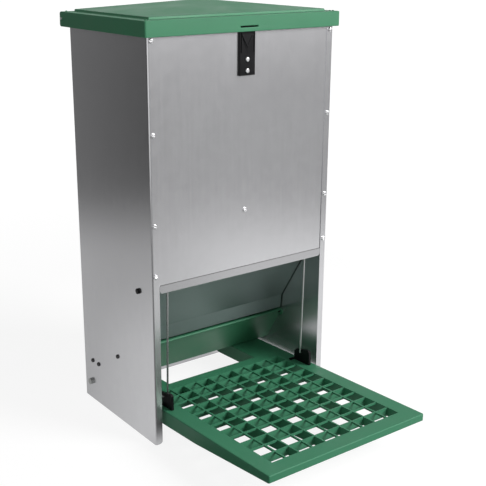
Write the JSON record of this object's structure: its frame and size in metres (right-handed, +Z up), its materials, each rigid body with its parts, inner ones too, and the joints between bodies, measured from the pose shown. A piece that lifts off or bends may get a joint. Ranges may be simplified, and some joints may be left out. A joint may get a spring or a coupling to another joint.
{
  "type": "treadle poultry feeder",
  "caption": "Free-standing automatic poultry feeder: galvanised sheet hopper with hinged lid, a grid treadle in front, lift rods and a feed flap that swings open over a trough",
  "frame": {"origin": "On the floor, under the middle of the feeder's bounding box with the treadle raised and the lid shut", "axes": "+Z up, the treadle points to -Y, +X to the right of someone who faces the treadle"},
  "size_m": [0.349, 0.4846, 0.6441],
  "materials": {
    "galvanised": "galvanised, satin",
    "green_plastic": "moulded, satin",
    "black_plastic": "moulded, matt",
    "zinc_screws": "zinc plated",
    "steel_wire": "drawn wire, zinc plated"
  },
  "bodies": {
    "housing": {"left_side_panel": "galvanised", "right_side_panel": "galvanised", "front_panel": "galvanised", "back_panel": "galvanised", "hopper_baffle": "galvanised", "axle_bushes": "black_plastic", "spring_seats": "galvanised", "return_springs": "steel_wire", "pivot_bolts": "zinc_screws", "pivot_nuts": "zinc_screws", "pivot_spacers": "black_plastic", "trough": "green_plastic", "hinge_rod": "steel_wire", "hinge_brackets": "galvanised", "latch": "black_plastic", "front_screws": "zinc_screws", "baffle_screw": "zinc_screws", "back_screws": "zinc_screws", "trough_screws": "zinc_screws", "latch_screws": "zinc_screws", "bracket_screws": "zinc_screws"},
    "treadle": {"treadle": "green_plastic", "rod_clips": "black_plastic"},
    "flap": {"feed_flap": "galvanised", "flap_axle": "steel_wire", "flap_levers": "galvanised"},
    "rods": {"lift_rods": "steel_wire"},
    "lid": {"lid": "green_plastic"}
  },
  "joints": [
    {"name": "treadle_hinge", "type": "hinge", "parent": "housing", "child": "treadle", "pos_m": [0, 0.20386, 0.0305], "axis": [1, 0, 0], "range_deg": [0, 6.5], "stiffness_Nm_per_rad": 7, "springref_deg": -24.64},
    {"name": "flap_hinge", "type": "hinge", "parent": "housing", "child": "flap", "pos_m": [0, 0.04506, 0.2371], "axis": [1, 0, 0], "range_deg": [0, 42.9], "deforming": ["return_springs"]},
    {"name": "rod_hinge", "type": "hinge", "parent": "treadle", "child": "rods", "pos_m": [0, 0.02366, 0.0675], "axis": [1, 0, 0], "range_deg": [-7.28, 0]},
    {"name": "lid_hinge", "type": "hinge", "parent": "housing", "child": "lid", "pos_m": [0, 0.23516, 0.6145], "axis": [-1, 0, 0], "range_deg": [0, 105]}
  ],
  "couplings": [
    {"joint": "flap_hinge", "follows": "treadle_hinge", "ratio": 6.6},
    {"joint": "rod_hinge", "follows": "treadle_hinge", "ratio": -1.12}
  ]
}
